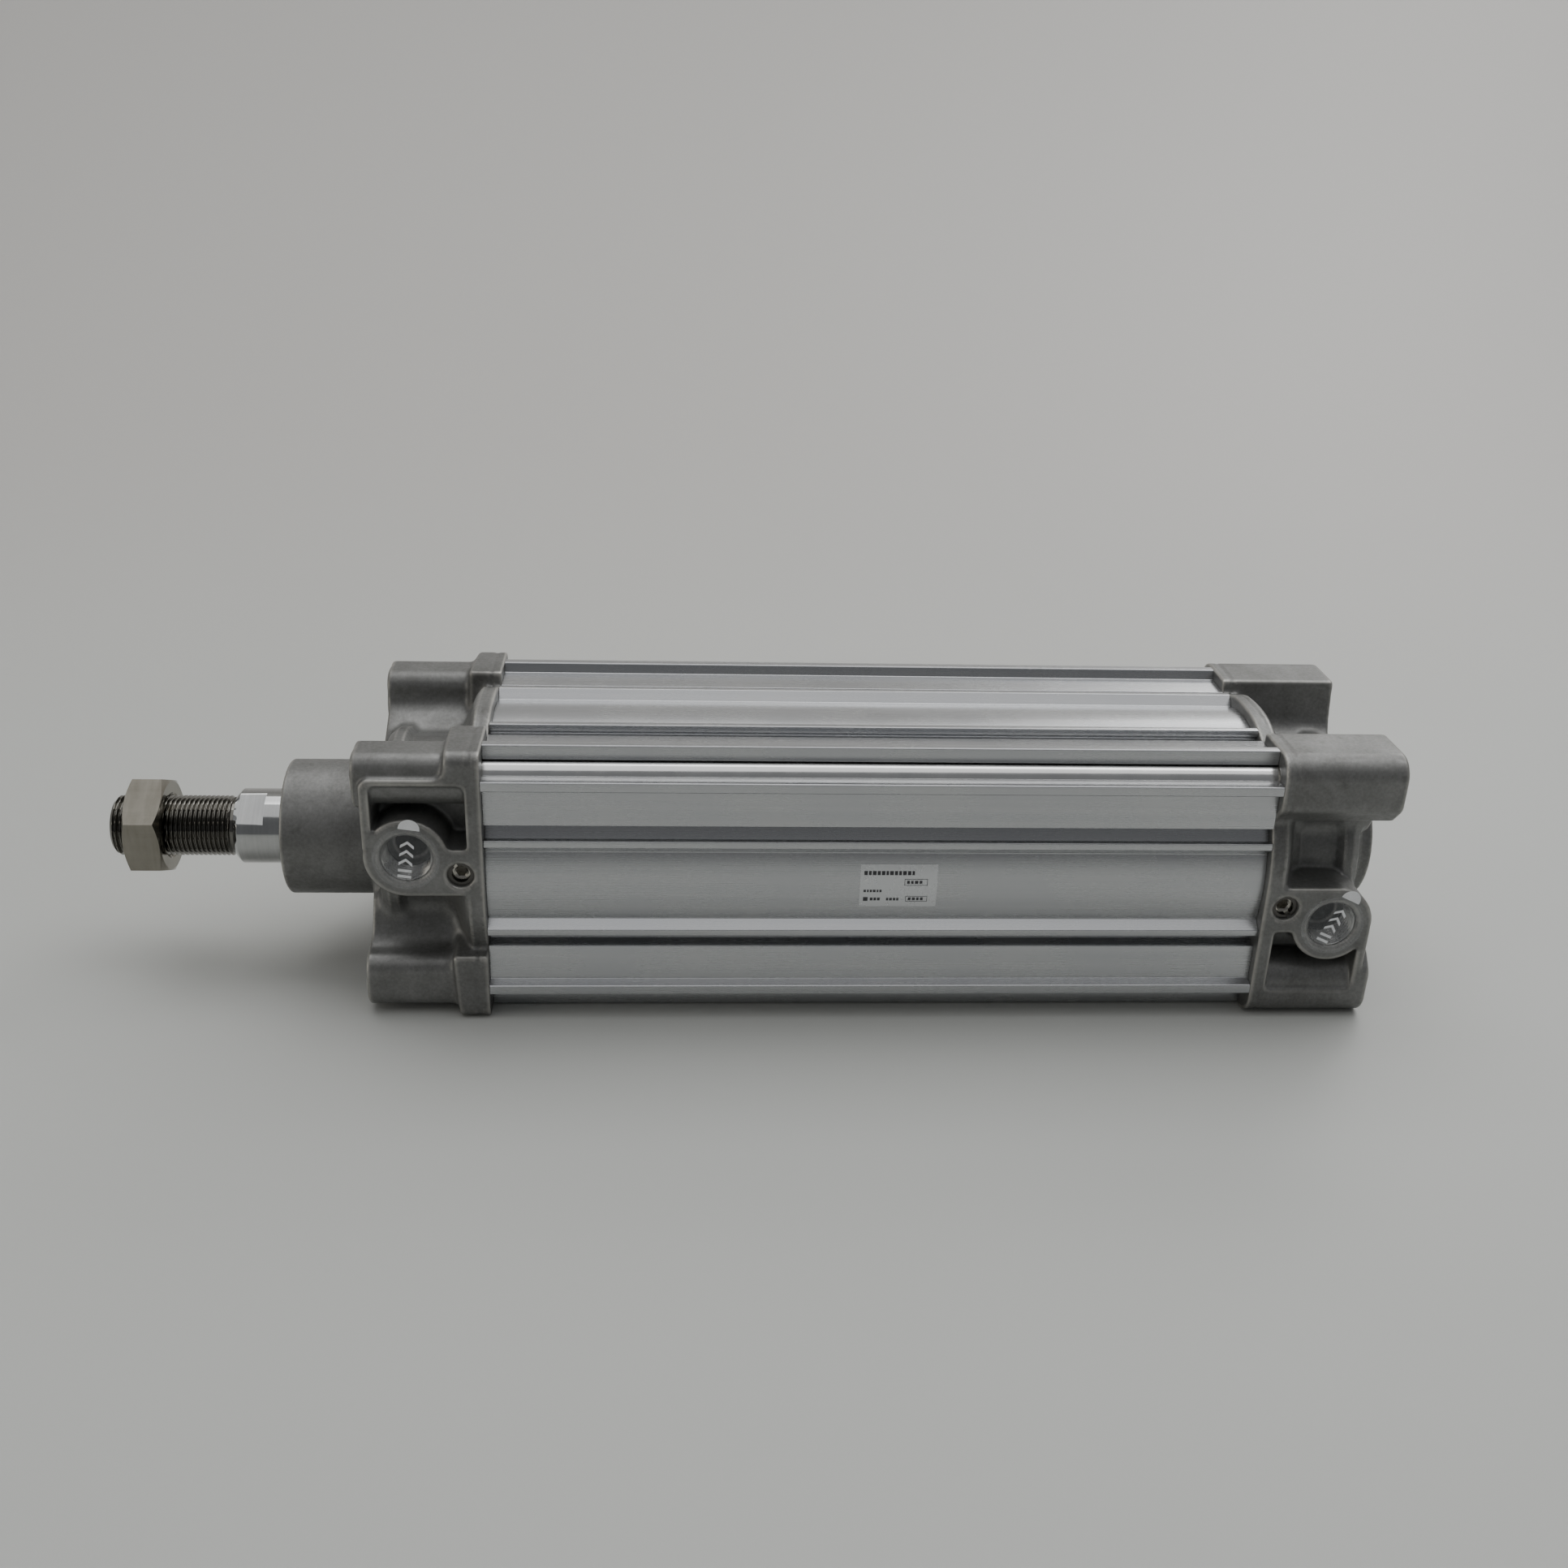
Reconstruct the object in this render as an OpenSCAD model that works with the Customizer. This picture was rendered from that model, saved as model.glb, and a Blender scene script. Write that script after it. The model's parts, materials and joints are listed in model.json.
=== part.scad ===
// Pneumatic cylinder with a profile barrel and exposed tie rods, bore 80, stroke 200.
// Millimetres. X runs along the axis from the rod side to the head side and Z is up.
// The ports face -Y. The origin is the centre of the rod cover's mounting face.
// At rest the rod is fully retracted.

/* [Main sizes] */
// Bore of the barrel
bore_d = 80; // [63:100]
// Stroke of the rod
stroke = 200; // [25:500]
// Distance between the mounting faces at no stroke
base_length = 128; // [110:150]
// Square side of the covers
cover_side = 93; // [80:110]
// Hole spacing of the mounting threads
bolt_spacing = 72; // [60:90]
// Length of each cover from its mounting face to the barrel
cover_length = 39.5; // [34:46]

/* [Barrel] */
// Outside diameter of the round part of the barrel
barrel_d = 86; // [84:90]
// Height of the corner strips above the axis
strip_h = 46.2; // [45:46.5]
// Distance of a strip's inner edge from the middle of the side
strip_in = 34.2; // [33:35]
// Distance of a strip's outer edge from the middle of the side
strip_out = 37.5; // [36.5:39]
// Height of the flat land beside each sensor slot
land_h = 42.8; // [42:44]
// Distance of the land's outer end from the middle of the side
land_out = 33.3; // [32:34]
// Near edge of the sensor slot's mouth
slot_near = 16.8; // [16:17.5]
// Far edge of the sensor slot's mouth
slot_far = 21.3; // [20.5:22]
// Height of the sensor slot's near lip
lip_h = 44.5; // [43:46]
// Radius of the channel around each tie rod
channel_r = 5.5; // [5.3:5.8]

/* [Tie rods] */
// Tie rod diameter
tie_d = 10; // [8:12]
// Length of a tie rod's end inside its nut
tie_grip = 9; // [7:10]
// Outside diameter of a tie rod nut
tie_nut_d = 14; // [13:15]
// Length of a tie rod nut
tie_nut_length = 27; // [22:28]
// Depth of the mounting thread in a nut
mount_thread_depth = 17; // [14:18]
// Drilled radius of the mounting thread
mount_thread_r = 4.25; // [3.4:5.1]
// How far a nut sits behind the mounting face
nut_inset = 0.1; // [0.1:0.4]

/* [Covers] */
// Thickness of the flange of a cover
flange_t = 11; // [8:14]
// Outer corner radius of the flange
flange_r = 4; // [2:6]
// Reach of the rod cover's posts from the axis
front_post_reach = 44.2; // [43:46]
// Inner edge of the rod cover's posts
front_post_in = 26; // [24:28]
// Corner radius of the rod cover's posts
front_post_r = 5.5; // [3:7]
// Inner edge of the head cover's posts
rear_post_in = 23.5; // [22:26]
// Radius of the round web between the flange corners
web_r = 46; // [44:46.4]
// Radius of the waist of a cover
waist_r = 31; // [28:34]
// Radius of the round end of a cover
end_r = 33.5; // [32:36]
// Diameter of the locating boss
boss_d = 44.8; // [40:45]
// Length of the front boss
front_boss = 28.5; // [20:35]
// Length of the rear boss
rear_boss = 4; // [3:6]

/* [Ports] */
// Distance of a port from its mounting face
port_x = 16; // [14:20]
// Height of the front port above the axis
port_z = 11.5; // [8:14]
// Drilled radius of a port
port_r = 7.9; // [7:8.5]
// Radius of the chamfer at a port's mouth
port_mouth_r = 8.7; // [8:9.5]
// Depth of a port's thread
port_depth = 12; // [10:14]
// Radius of the round boss around a port
port_boss_r = 13.2; // [12:14]
// Distance of a cushion needle from its mounting face
needle_x = 32.3; // [30:34]
// Height of the front cushion needle above the axis
needle_z = 5.6; // [4:8]
// Radius of a cushion needle's hole
needle_hole_r = 4.1; // [3.5:4.5]

/* [Rod and piston] */
// Rod diameter
rod_d = 25; // [20:32]
// Length of the rod from the mounting face to its shoulder
rod_out = 46; // [40:60]
// Rod thread diameter
thread_d = 20; // [16:24]
// Rod thread length
thread_length = 40; // [30:50]
// Width across the wrench flats
flat_af = 22; // [20:24]
// Length of the wrench flats
flat_length = 10; // [8:14]
// Angle of the wrench flats about the axis
flat_turn = 35; // [0:90]
// Rod nut width across flats
rod_nut_af = 30; // [27:32]
// Rod nut thickness
rod_nut_t = 12; // [8:14]
// Distance of the rod nut from the rod's tip
rod_nut_gap = 5.6; // [2:20]
// Piston length
piston_length = 36; // [30:40]
// Gap between the piston and a cover at each end of the stroke
end_gap = 0.5; // [0.3:1]

/* [Label] */
// Label length along the barrel
label_length = 24.7; // [15:35]
// Label width around the barrel
label_width = 15; // [10:16]
// Distance of the label's left edge from the mounting face
label_x = 157.3; // [60:240]

/* [Hidden] */
// Working values
eps = 0.01;
run_gap = 0.05;
seat_gap = 0.02;
bore_r = bore_d / 2;
barrel_r = barrel_d / 2;
half = cover_side / 2;
pitch = bolt_spacing / 2;
total = base_length + stroke;
tube_x0 = cover_length;
tube_x1 = total - cover_length;
tube_length = tube_x1 - tube_x0;
tie_r = tie_d / 2;
tie_nut_r = tie_nut_d / 2;
tie_x0 = nut_inset + tie_nut_length - tie_grip;
tie_length = total - 2 * tie_x0;
tie_ease = 0.7;
rod_r = rod_d / 2;
thread_r = thread_d / 2;
rod_tip = -(rod_out + thread_length);
// Chamfers
fine_ease = 0.3;
edge_ease = 1;
// Hole in a tie nut for the rod's end
tie_socket_depth = tie_grip + edge_ease;
// Feet of a side's rails, inside the barrel's wall
rail_foot = [8, 36];
rail_heel = 28;
// Root and top of the slot's near lip, across and outwards
lip_root = [11.8, 41.2];
lip_start = 14.6;
lip_fall = 0.1;
// Sensor slot below its mouth, as points across and outwards
slot_floor = [[16.8, 42.3], [16.1, 41.8], [15.2, 40.8], [20.3, 38.4], [21.9, 40.4],
  [21.9, 41.4], [21.3, 42]];
// Over-cut beyond the outline
over = 2;
// Steps of a circle
hex = 6;
small_fn = 32;
seal_fn = 48;
wide_fn = 64;
pad_fn = 96;
corner_clear = 12;
// Round end of a cover, as pairs of drop below its radius and distance from the mounting face
end_steps = [[9.5, 0], [7.5, 3.5], [2, 4.5], [0, 7], [0, 10]];
// Round core of a cover: ends of its steps along the axis
waist_x0 = 12.5;
waist_x1 = 24;
web_foot_x = 28;
web_foot_rise = 3;
web_x = 33;
web_ease = 1.5;
// Web from a post to the core
gusset_out = 32;
gusset_out_r = 5;
gusset_in = 20;
gusset_in_r = 9;
gusset_x = 0.8;
// Corners of the head cover's posts
post_cut = 7.5;
post_nose = 2.2;
post_step = 6;
post_heel = 4;
// Hole around a tie rod
tie_hole_r = 5.25;
// Play of a seal in its groove
groove_play = 0.2;
// Rod thread: its root just in front of the nut, and its run-out
thread_root_r = 9.1;
thread_ease = 1.2;
root_w = 0.6;
root_x0 = rod_tip + rod_nut_gap - root_w;
runout_length = 2.4;
shoulder_ease = 1.5;
// Rod nut
nut_turn = -26;
nut_face_ease = 0.4;
nut_corner_ease = 1.4;
// Spigot of a cover inside the barrel
spigot_length = 6;
spigot_r = bore_r - 0.1;
spigot_groove_x = 2;
spigot_groove_w = 2.4;
spigot_groove_r = 38.2;
tube_gasket_r = 39.97;
gasket_ease = 0.6;
// Cushion chamber of a cover
chamber_r = 20;
chamber_x = 12;
rear_chamber_x = 10;
chamber_neck_r = 18;
rod_hole_r = rod_r + 0.6;
// Front bushing and seals
bush_r = 15;
bush_x = -17;
bush_length = 26;
rod_seal_r = 18;
rod_seal_x = -27.5;
rod_seal_length = 8;
seal_lip = 1;
seal_lip_out = 0.6;
cushion_seal_x = 35;
cushion_seal_length = 6;
cushion_seal_r = 22.5;
cushion_r = 16.5;
cushion_ring_length = 21;
cushion_taper = 1.5;
cushion_lead = 4;
// Piston group at rest
piston_x1 = tube_x1 - spigot_length - end_gap;
piston_x0 = piston_x1 - piston_length;
piston_r = 39;
ring_r = 39.95;
seal_w = 5;
seal_depth = 5;
wear_w = 9;
wear_depth = 2.2;
magnet_w = 5;
magnet_depth = 7;
magnet_r = 38;
seal_x = 5.5;
wear_x = 13.5;
magnet_x = 25.5;
rod_tail_r = 10;
rod_tail_length = 18;
rod_tail_x1 = piston_x1 + rod_tail_length;
gasket_w = 2.4;
gasket_depth = 2;
gasket_x = 6;
rear_cushion_length = 21;
// Cushion needle
needle_r = needle_hole_r - run_gap;
needle_face = 3;
needle_length = 10;
needle_tip_r = 1.6;
needle_tip_length = 4;
needle_socket_af = 3;
needle_socket_depth = 4;
needle_seal_w = 1.8;
needle_seal_depth = 1.4;
needle_seal_y = 5.5;
needle_bottom = 16;
needle_mouth_ease = 0.5;
needle_point_r = 0.4;
needle_socket_ease = 0.5;
needle_socket_mouth = 0.8;
needle_seal_play = 0.1;
needle_seal_h = needle_seal_w - 2 * needle_seal_play;
clip_y = 1.6;
clip_w = 0.8;
clip_in_r = 2.9;
clip_groove_r = 4.5;
clip_play = 0.1;
clip_split = 1.4;
clip_turn = -120;
// Port film
film_t = 0.15;
film_r = 10.4;
film_lift = 0.05;
film_tab_r = 3.4;
front_tab_turn = -8;
rear_tab_turn = 155;
// Label
label_t = 0.12;
label_lift = 0.02;
label_tilt = 1;
label_reach = 60;
// Port passage into the chamber, and how far from the axis each passage ends
passage_r = 5;
passage_end = 8;
needle_passage_end = 17;
port_mouth_depth = 0.8;
// Rod cover pad and pocket
pad_top = 38;
pad_corner = 3.5;
pad_depth = 24;
pad_foot = 1;
pocket_depth = 14;
pocket_corner = 2.4;
pocket_left = 6;
pocket_right = 34.6;
pocket_top = 36;
pocket_low = 14.4;
pocket_wall_x = 30.5;
pocket_lean = 0.5;
pocket_foot = 2;
pocket_heel = 4;
pocket_boss_r = 13;
post_core_r = 9.2;

// Node to draw

$fn = 72;

// ---- helpers ----

// Extrudes a sketch drawn in (Y, Z) from x0 along X
module along_x(x0, len) {
  translate([x0, 0, 0]) rotate([90, 0, 90]) linear_extrude(len) children();
}

// Cylinder on the X axis
module rod_x(x0, len, r) {
  translate([x0, 0, 0]) rotate([0, 90, 0]) cylinder(h = len, r = r);
}

// Revolves a profile of (radius, x) points about the X axis
module turn_x(points) {
  rotate([0, 90, 0]) rotate_extrude() polygon(points);
}

// Ring of rectangular section on the X axis
module ring_x(x0, len, r_in, r_out) {
  turn_x([[r_in, x0], [r_out, x0], [r_out, x0 + len], [r_in, x0 + len]]);
}

// Ring with chamfered outer edges
module soft_ring_x(x0, len, r_in, r_out, c) {
  turn_x([
    [r_in, x0], [r_out - c, x0], [r_out, x0 + c],
    [r_out, x0 + len - c], [r_out - c, x0 + len], [r_in, x0 + len]
  ]);
}

// Cylinder along Y from the port face inwards
module bore_y(x, z, depth, r) {
  translate([x, -half - eps, z]) rotate([-90, 0, 0]) cylinder(h = depth + eps, r = r);
}

// Extrudes a sketch drawn in (X, Z) from y0 in the +Y direction
module along_y(y0, len) {
  translate([0, y0 + len, 0]) rotate([90, 0, 0]) linear_extrude(len) children();
}

// Puts children at the four tie rod positions
module at_corner(i) {
  sy = (i == 1 || i == 4) ? -1 : 1;
  sz = (i <= 2) ? 1 : -1;
  translate([0, sy * pitch, sz * pitch]) children();
}

// Turns a front part into the matching rear part
module to_rear() {
  translate([total, 0, 0]) rotate([0, 180, 0]) children();
}

module round_square(a, r) {
  offset(r = r) square(a - 2 * r, center = true);
}

// ---- barrel ----

// Outline of one side's rails, across and outwards
module side_rails() {
  right = [
    rail_foot, lip_root, [lip_start, lip_h], [slot_near, lip_h - lip_fall],
    [slot_near, land_h], [slot_far, land_h], [land_out, land_h + lip_fall],
    [strip_in, strip_h - fine_ease], [strip_in + fine_ease, strip_h],
    [strip_out - fine_ease, strip_h], [strip_out, strip_h - fine_ease],
    [strip_out, strip_out], [rail_heel, rail_heel]
  ];
  left = [for (i = [len(right) - 1 : -1 : 0]) [-right[i][0], right[i][1]]];
  polygon(concat(right, left));
}

// Cut of one sensor slot
module slot_cut() {
  polygon(concat([[slot_near, lip_h + over]], slot_floor, [[slot_far, lip_h + over]]));
}

// Cuts of one quarter: both sensor slots of a side and a corner channel
module quarter_cuts() {
  slot_cut();
  mirror([1, 0]) slot_cut();
  translate([pitch, pitch]) circle(r = channel_r);
  translate([strip_out, strip_out]) square(corner_clear);
}

module cylinder_tube() {
  color([0.78, 0.79, 0.8]) difference() {
    union() {
      rod_x(tube_x0, tube_length, barrel_r);
      for (q = [0 : 3]) along_x(tube_x0, tube_length) rotate(q * 90) side_rails();
    }
    for (q = [0 : 3]) along_x(tube_x0 - over, tube_length + 2 * over) rotate(q * 90) quarter_cuts();
    rod_x(tube_x0 - over, tube_length + 2 * over, bore_r);
  }
}

// ---- covers ----

// Passages common to both covers, drawn for the front one
module cover_cuts() {
  for (i = [1 : 4]) {
    at_corner(i) {
      rod_x(-over, nut_inset + tie_nut_length + over + seat_gap, tie_nut_r + seat_gap);
      rod_x(0, cover_length + over, tie_hole_r);
    }
  }
  // port
  bore_y(port_x, port_z, port_depth, port_r);
  bore_y(port_x, port_z, port_mouth_depth, port_mouth_r);
  bore_y(port_x, port_z, half - passage_end, passage_r);
  // needle
  bore_y(needle_x, needle_z, needle_bottom, needle_hole_r);
  bore_y(needle_x, needle_z, half - needle_passage_end, needle_tip_r);
  translate([needle_x, -half + clip_y, needle_z]) rotate([-90, 0, 0])
    cylinder(h = clip_w, r = clip_groove_r);
  translate([needle_x, -half - eps, needle_z]) rotate([-90, 0, 0])
    cylinder(h = needle_mouth_ease, r1 = needle_hole_r + needle_mouth_ease, r2 = needle_hole_r);
  // cushion seal seat
  rod_x(cushion_seal_x, cushion_seal_length, cushion_seal_r);
}

// Weight-saving pocket between a port and the post beside it
module pocket() {
  difference() {
    along_y(-half - over, pocket_depth + over) offset(r = pocket_corner) offset(r = -pocket_corner)
      difference() {
        polygon([
          [pocket_left, pocket_top], [pocket_right, pocket_top], [pocket_right - pocket_lean, pocket_low],
          [pocket_wall_x, pocket_low], [port_x, port_z + pocket_foot], [pocket_left, port_z + pocket_heel]
        ]);
        translate([port_x, port_z]) circle(r = pocket_boss_r, $fn = wide_fn);
      }
    translate([0, -pitch, pitch]) rod_x(0, cover_length, post_core_r);
  }
}

// Front pad with the port and the needle
module pad(top) {
  along_y(-half, pad_depth) union() {
    translate([port_x, port_z]) circle(r = port_boss_r, $fn = pad_fn);
    translate([port_x, port_z - port_boss_r])
      square([cover_length - port_x, top - port_z + port_boss_r]);
    hull() {
      translate([port_x + pad_corner - port_boss_r, top - pad_corner]) circle(r = pad_corner);
      translate([port_x, top - pad_corner]) circle(r = pad_corner);
      translate([port_x - port_boss_r, port_z]) square([port_boss_r, pad_foot]);
    }
  }
}

// Round core of a cover from its mounting face to the barrel
module core() {
  turn_x(concat([[0, 0]], [for (p = end_steps) [end_r - p[0], p[1]]], [
    [waist_r, waist_x0], [waist_r, waist_x1], [waist_r + web_foot_rise, web_foot_x],
    [web_r - web_ease, web_x], [web_r, web_x + web_ease], [web_r, cover_length],
    [0, cover_length]
  ]));
}

// Spigot of a cover inside the barrel, with the gasket groove and the seal's seat
module spigot() {
  seat_x1 = cushion_seal_x + cushion_seal_length;
  spigot_x1 = cover_length + spigot_length;
  difference() {
    turn_x([
      [cushion_seal_r, cover_length], [spigot_r, cover_length],
      [spigot_r, spigot_x1 - edge_ease], [spigot_r - edge_ease, spigot_x1],
      [chamber_r, spigot_x1], [chamber_r, seat_x1], [cushion_seal_r, seat_x1]
    ]);
    ring_x(cover_length + spigot_groove_x, spigot_groove_w, spigot_groove_r, bore_r + over);
  }
}

module rod_cover_spigot() {
  color([0.55, 0.55, 0.54]) spigot();
}

module head_cover_spigot() {
  color([0.5, 0.5, 0.5]) to_rear() spigot();
}

// Webs from the posts to the core
module gussets() {
  for (i = [1 : 4]) {
    sy = (i == 1 || i == 4) ? -1 : 1;
    sz = (i <= 2) ? 1 : -1;
    along_x(gusset_x, cover_length - over) hull() {
      translate([sy * gusset_out, sz * gusset_out]) circle(r = gusset_out_r, $fn = small_fn);
      translate([sy * gusset_in, sz * gusset_in]) circle(r = gusset_in_r, $fn = small_fn);
    }
  }
}

// Round locating boss on the mounting face
module boss(len) {
  rod_x(edge_ease - len, len, boss_d / 2);
  translate([edge_ease - len, 0, 0]) rotate([0, -90, 0])
    cylinder(h = edge_ease, r1 = boss_d / 2, r2 = boss_d / 2 - edge_ease);
}

// Flange corner blocks
module flange_corners(x0, len, inner) {
  along_x(x0, len) difference() {
    round_square(cover_side, flange_r);
    square([2 * inner, cover_side + over], center = true);
    square([cover_side + over, 2 * inner], center = true);
  }
}

module rod_cover() {
  color([0.55, 0.55, 0.54]) difference() {
    union() {
      core();
      boss(front_boss);
      gussets();
      flange_corners(cover_length - flange_t, flange_t, rear_post_in);
      for (i = [1 : 4]) {
        sy = (i == 1 || i == 4) ? -1 : 1;
        sz = (i <= 2) ? 1 : -1;
        c = (front_post_reach + front_post_in) / 2;
        along_x(0, cover_length - edge_ease) translate([sy * c, sz * c])
          round_square(front_post_reach - front_post_in, front_post_r);
      }
      pad(pad_top);
    }
    pocket();
    cover_cuts();
    // rod passage, seal seat and cushion chamber
    rod_x(-front_boss - over, cover_length + front_boss, rod_hole_r);
    rod_x(-front_boss - over, front_boss + over + rod_seal_x + rod_seal_length, rod_seal_r);
    rod_x(bush_x, bush_length, bush_r);
    rod_x(chamber_x, cover_length, chamber_neck_r);
  }
}

module head_cover() {
  color([0.5, 0.5, 0.5]) to_rear() difference() {
    union() {
      core();
      boss(rear_boss);
      gussets();
      for (i = [1 : 4]) {
        sy = (i == 1 || i == 4) ? -1 : 1;
        sz = (i <= 2) ? 1 : -1;
        along_x(0, cover_length) scale([sy, sz]) offset(r = post_nose) offset(r = -post_nose)
          polygon([
            [rear_post_in, half], [half - post_cut, half], [half - post_nose, half - post_nose],
            [half, half - post_cut], [half, rear_post_in + post_cut],
            [half - post_step, rear_post_in], [rear_post_in, rear_post_in - post_heel],
            [rear_post_in - post_heel, rear_post_in], [rear_post_in - edge_ease, half - post_cut]
          ]);
      }
      intersection() {
        pad(half);
        along_x(0, cover_length) round_square(cover_side, flange_r);
      }
    }
    pocket();
    cover_cuts();
    rod_x(rear_chamber_x, cover_length, chamber_neck_r);
  }
}

// ---- tie rods and their nuts ----

module tie_rod(i) {
  color([0.8, 0.8, 0.78]) at_corner(i) turn_x([
    [0, tie_x0], [tie_r - tie_ease, tie_x0], [tie_r, tie_x0 + tie_ease],
    [tie_r, tie_x0 + tie_length - tie_ease], [tie_r - tie_ease, tie_x0 + tie_length],
    [0, tie_x0 + tie_length]
  ]);
}

module tie_nut() {
  difference() {
    rod_x(nut_inset, tie_nut_length, tie_nut_r);
    rod_x(nut_inset - over, mount_thread_depth + over, mount_thread_r);
    turn_x([
      [0, nut_inset - eps], [mount_thread_r + fine_ease, nut_inset - eps],
      [mount_thread_r, nut_inset + fine_ease], [0, nut_inset + fine_ease]
    ]);
    rod_x(nut_inset + tie_nut_length - tie_grip, tie_socket_depth, tie_r);
  }
}

module front_tie_nut(i) {
  color([0.7, 0.7, 0.66]) at_corner(i) tie_nut();
}

module rear_tie_nut(i) {
  color([0.7, 0.7, 0.66]) at_corner(i) to_rear() tie_nut();
}

// ---- seals of the covers ----

module tube_gasket() {
  soft_ring_x(cover_length + spigot_groove_x + groove_play, spigot_groove_w - 2 * groove_play,
    spigot_groove_r, tube_gasket_r, gasket_ease);
}

module front_tube_gasket() {
  color([0.1, 0.1, 0.1]) tube_gasket();
}

module rear_tube_gasket() {
  color([0.1, 0.1, 0.1]) to_rear() tube_gasket();
}

module rod_bushing() {
  color([0.72, 0.55, 0.3]) ring_x(bush_x, bush_length, rod_r + run_gap, bush_r);
}

module rod_seal() {
  color([0.12, 0.12, 0.12]) turn_x([
    [rod_r + run_gap, rod_seal_x + seal_lip], [rod_r + seal_lip, rod_seal_x - seal_lip_out],
    [rod_r + 2 * seal_lip, rod_seal_x], [rod_seal_r, rod_seal_x],
    [rod_seal_r, rod_seal_x + rod_seal_length], [rod_r + run_gap, rod_seal_x + rod_seal_length]
  ]);
}

module cushion_seal() {
  turn_x([
    [cushion_r + run_gap, cushion_seal_x + seal_lip], [chamber_r - seal_lip, cushion_seal_x],
    [cushion_seal_r, cushion_seal_x], [cushion_seal_r, cushion_seal_x + cushion_seal_length],
    [chamber_r - seal_lip, cushion_seal_x + cushion_seal_length],
    [cushion_r + run_gap, cushion_seal_x + cushion_seal_length - seal_lip]
  ]);
}

module front_cushion_seal() {
  color([0.16, 0.16, 0.16]) cushion_seal();
}

module rear_cushion_seal() {
  color([0.16, 0.16, 0.16]) to_rear() cushion_seal();
}

// ---- rod and piston ----

module piston_rod() {
  color([0.86, 0.87, 0.88]) difference() {
    turn_x([
      [0, rod_tip], [thread_r - thread_ease, rod_tip], [thread_r, rod_tip + thread_ease],
      [thread_r, root_x0], [thread_root_r, root_x0], [thread_root_r, root_x0 + root_w],
      [thread_r, root_x0 + root_w], [thread_r, -rod_out - runout_length],
      [thread_root_r, -rod_out - runout_length + edge_ease], [thread_root_r, -rod_out],
      [rod_r - shoulder_ease, -rod_out], [rod_r, -rod_out + shoulder_ease],
      [rod_r, piston_x0], [rod_tail_r, piston_x0], [rod_tail_r, rod_tail_x1 - edge_ease],
      [rod_tail_r - edge_ease, rod_tail_x1], [0, rod_tail_x1]
    ]);
    for (s = [0, 180]) {
      rotate([flat_turn + s, 0, 0])
        translate([-rod_out - eps, -rod_r - over, flat_af / 2])
          cube([flat_length, 2 * (rod_r + over), rod_r]);
    }
  }
}

module rod_end_nut() {
  x0 = rod_tip + rod_nut_gap;
  corner_r = rod_nut_af / 2 / cos(180 / hex);
  color([0.75, 0.73, 0.68]) difference() {
    intersection() {
      along_x(x0, rod_nut_t) rotate(nut_turn) circle(r = corner_r, $fn = hex);
      turn_x([
        [0, x0], [rod_nut_af / 2 - nut_face_ease, x0], [corner_r, x0 + nut_corner_ease],
        [corner_r, x0 + rod_nut_t - nut_corner_ease],
        [rod_nut_af / 2 - nut_face_ease, x0 + rod_nut_t], [0, x0 + rod_nut_t]
      ]);
    }
    rod_x(x0 - over, rod_nut_t + 2 * over, thread_r + run_gap);
    turn_x([
      [0, x0 - eps], [thread_r + edge_ease, x0 - eps], [thread_r, x0 + edge_ease],
      [thread_r, x0 + rod_nut_t - edge_ease], [thread_r + edge_ease, x0 + rod_nut_t + eps],
      [0, x0 + rod_nut_t + eps]
    ]);
  }
}

module piston() {
  color([0.7, 0.7, 0.7]) difference() {
    turn_x([
      [rod_tail_r, piston_x0], [piston_r - edge_ease, piston_x0],
      [piston_r, piston_x0 + edge_ease], [piston_r, piston_x1 - edge_ease],
      [piston_r - edge_ease, piston_x1], [rod_tail_r, piston_x1]
    ]);
    ring_x(piston_x0 + seal_x, seal_w + 2 * groove_play, piston_r - seal_depth, bore_r);
    ring_x(piston_x0 + wear_x, wear_w + 2 * groove_play, piston_r - wear_depth, bore_r);
    ring_x(piston_x0 + magnet_x, magnet_w, piston_r - magnet_depth, bore_r);
    ring_x(piston_x0 + gasket_x, gasket_w, rod_tail_r - edge_ease, rod_tail_r + gasket_depth);
  }
}

module piston_seal() {
  color([0.1, 0.1, 0.12]) soft_ring_x(piston_x0 + seal_x + groove_play, seal_w,
    piston_r - seal_depth + run_gap, ring_r, gasket_ease);
}

module wear_ring() {
  color([0.2, 0.25, 0.3]) soft_ring_x(piston_x0 + wear_x + groove_play, wear_w,
    piston_r - wear_depth + run_gap, ring_r, fine_ease);
}

module magnet_ring() {
  color([0.25, 0.25, 0.27]) ring_x(piston_x0 + magnet_x, magnet_w,
    piston_r - magnet_depth, magnet_r);
}

module piston_gasket() {
  color([0.08, 0.08, 0.08]) ring_x(piston_x0 + gasket_x, gasket_w,
    rod_tail_r, rod_tail_r + gasket_depth);
}

module front_cushion_ring() {
  x1 = piston_x0;
  x0 = x1 - cushion_ring_length;
  color([0.6, 0.6, 0.6]) turn_x([
    [rod_r, x0], [cushion_r - cushion_taper, x0], [cushion_r, x0 + cushion_lead],
    [cushion_r, x1], [rod_r, x1]
  ]);
}

module rear_cushion_nut() {
  x0 = piston_x1;
  x1 = x0 + rear_cushion_length;
  color([0.6, 0.6, 0.6]) turn_x([
    [rod_tail_r, x0], [cushion_r, x0], [cushion_r, x1 - cushion_lead],
    [cushion_r - cushion_taper, x1], [0, x1], [0, rod_tail_x1], [rod_tail_r, rod_tail_x1]
  ]);
}

// ---- cushion needles ----

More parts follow.
